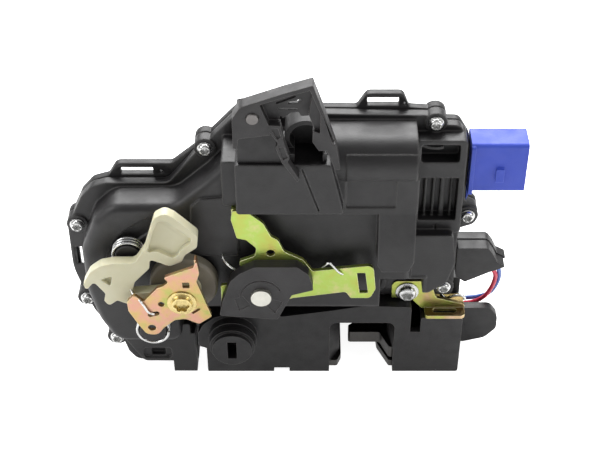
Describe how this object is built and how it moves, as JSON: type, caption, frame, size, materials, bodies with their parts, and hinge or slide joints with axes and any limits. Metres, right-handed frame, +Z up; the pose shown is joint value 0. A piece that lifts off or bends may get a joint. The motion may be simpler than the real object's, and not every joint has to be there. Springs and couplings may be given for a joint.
{
  "type": "door latch actuator",
  "caption": "Electric car door latch and lock actuator: black moulded gear housing, striker latch with steel ledge, stacked levers with springs, blue plug.",
  "frame": {"origin": "latch face, midway between the two M8 mounting threads", "axes": "+X towards the plug along the two threads, +Y away from the lever side, +Z up from the latch face"},
  "size_m": [0.1672, 0.0686, 0.1494],
  "materials": {
    "black_housing": "moulded",
    "black_cover": "satin",
    "cream_nylon": "moulded",
    "grey_nylon": "moulded",
    "blue_plug": "moulded",
    "yellow_zinc": "satin",
    "gold_zinc": "satin",
    "bright_steel": "bright",
    "dark_steel": "phosphated",
    "brass_bolt": "plated",
    "pale_rivet": "satin",
    "seal_rubber": "matte",
    "contact_tin": "bright",
    "red_sleeve": "smooth",
    "blue_sleeve": "smooth",
    "white_nylon": "moulded"
  },
  "bodies": {
    "housing": {"housing_front": "black_housing", "housing_rear": "black_housing", "housing_seal": "seal_rubber", "housing_screws": "bright_steel", "latch_housing": "black_housing", "latch_plate": "dark_steel", "latch_bracket": "yellow_zinc", "bracket_screw": "bright_steel", "lever_cover": "black_cover", "cover_rivet": "pale_rivet", "lever_bolt": "brass_bolt", "connector_body": "blue_plug", "connector_pins": "contact_tin", "switch_box": "black_housing", "switch_lid": "black_housing", "cable_bracket": "black_housing", "retainer_pin": "pale_rivet", "position_switches": "black_housing", "lead_frame": "white_nylon", "gear_axles": "bright_steel", "claw_pin": "bright_steel", "claw_spring": "bright_steel", "pawl_pin": "bright_steel", "pawl_spring": "bright_steel", "upper_spring": "bright_steel", "lower_spring": "bright_steel", "handle_spring": "bright_steel", "lock_motor": "bright_steel", "safe_motor": "bright_steel", "wire_red": "red_sleeve", "wire_blue": "blue_sleeve"},
    "claw": {"claw": "dark_steel"},
    "pawl": {"pawl": "dark_steel"},
    "handle_lever": {"handle_lever": "yellow_zinc"},
    "inner_lever": {"inner_lever": "gold_zinc", "return_wheel": "grey_nylon"},
    "release_lever": {"release_lever": "cream_nylon"},
    "key_coupling": {"key_coupling": "black_housing"},
    "cable_retainer": {"cable_retainer": "black_cover"},
    "lock_gear": {"lock_gear": "white_nylon"},
    "lock_worm": {"lock_worm": "white_nylon"},
    "lock_slider": {"lock_slider": "white_nylon"},
    "safe_gear": {"safe_gear": "white_nylon"},
    "safe_worm": {"safe_worm": "white_nylon"}
  },
  "joints": [
    {"name": "claw_hinge", "type": "hinge", "parent": "housing", "child": "claw", "pos_m": [0.016, -0.001, 0.0067], "axis": [0, 0, -1], "range_deg": [0, 70]},
    {"name": "pawl_hinge", "type": "hinge", "parent": "housing", "child": "pawl", "pos_m": [-0.016, 0.002, 0.0067], "axis": [0, 0, -1], "range_deg": [0, 12]},
    {"name": "handle_lever_hinge", "type": "hinge", "parent": "housing", "child": "handle_lever", "pos_m": [-0.0392, -0.0377, 0.0565], "axis": [0, -1, 0], "range_deg": [0, 14]},
    {"name": "inner_lever_hinge", "type": "hinge", "parent": "housing", "child": "inner_lever", "pos_m": [-0.0676, -0.04, 0.0566], "axis": [0, -1, 0], "range_deg": [0, 20]},
    {"name": "release_lever_hinge", "type": "hinge", "parent": "housing", "child": "release_lever", "pos_m": [-0.0676, -0.04, 0.0566], "axis": [0, -1, 0], "range_deg": [0, 20]},
    {"name": "key_coupling_hinge", "type": "hinge", "parent": "housing", "child": "key_coupling", "pos_m": [-0.0514, -0.022, 0.0206], "axis": [0, -1, 0], "range_deg": [-60, 60]},
    {"name": "cable_retainer_hinge", "type": "hinge", "parent": "housing", "child": "cable_retainer", "pos_m": [-0.0402, -0.0435, 0.1368], "axis": [0, -1, 0], "range_deg": [0, 60]},
    {"name": "lock_gear_hinge", "type": "hinge", "parent": "housing", "child": "lock_gear", "pos_m": [-0.018, -0.0254, 0.0885], "axis": [0, -1, 0], "range_deg": [0, 40]},
    {"name": "lock_worm_hinge", "type": "hinge", "parent": "housing", "child": "lock_worm", "pos_m": [-0.0072, -0.0254, 0.106], "axis": [1, 0, 0], "range_deg": [0, 1040]},
    {"name": "lock_slider_slide", "type": "slide", "parent": "housing", "child": "lock_slider", "axis": [0, 0, 1], "range_m": [0, 0.006]},
    {"name": "safe_gear_hinge", "type": "hinge", "parent": "housing", "child": "safe_gear", "pos_m": [-0.0695, -0.008, 0.054], "axis": [0, -1, 0], "range_deg": [0, 40]},
    {"name": "safe_worm_hinge", "type": "hinge", "parent": "housing", "child": "safe_worm", "pos_m": [-0.084, -0.008, 0.055], "axis": [0, 0, 1], "range_deg": [0, 800]}
  ],
  "couplings": [
    {"joint": "release_lever_hinge", "follows": "inner_lever_hinge", "ratio": 1},
    {"joint": "lock_worm_hinge", "follows": "lock_gear_hinge", "ratio": 26},
    {"joint": "lock_slider_slide", "follows": "lock_gear_hinge", "m_per_rad": 0.0085},
    {"joint": "safe_worm_hinge", "follows": "safe_gear_hinge", "ratio": 20}
  ]
}
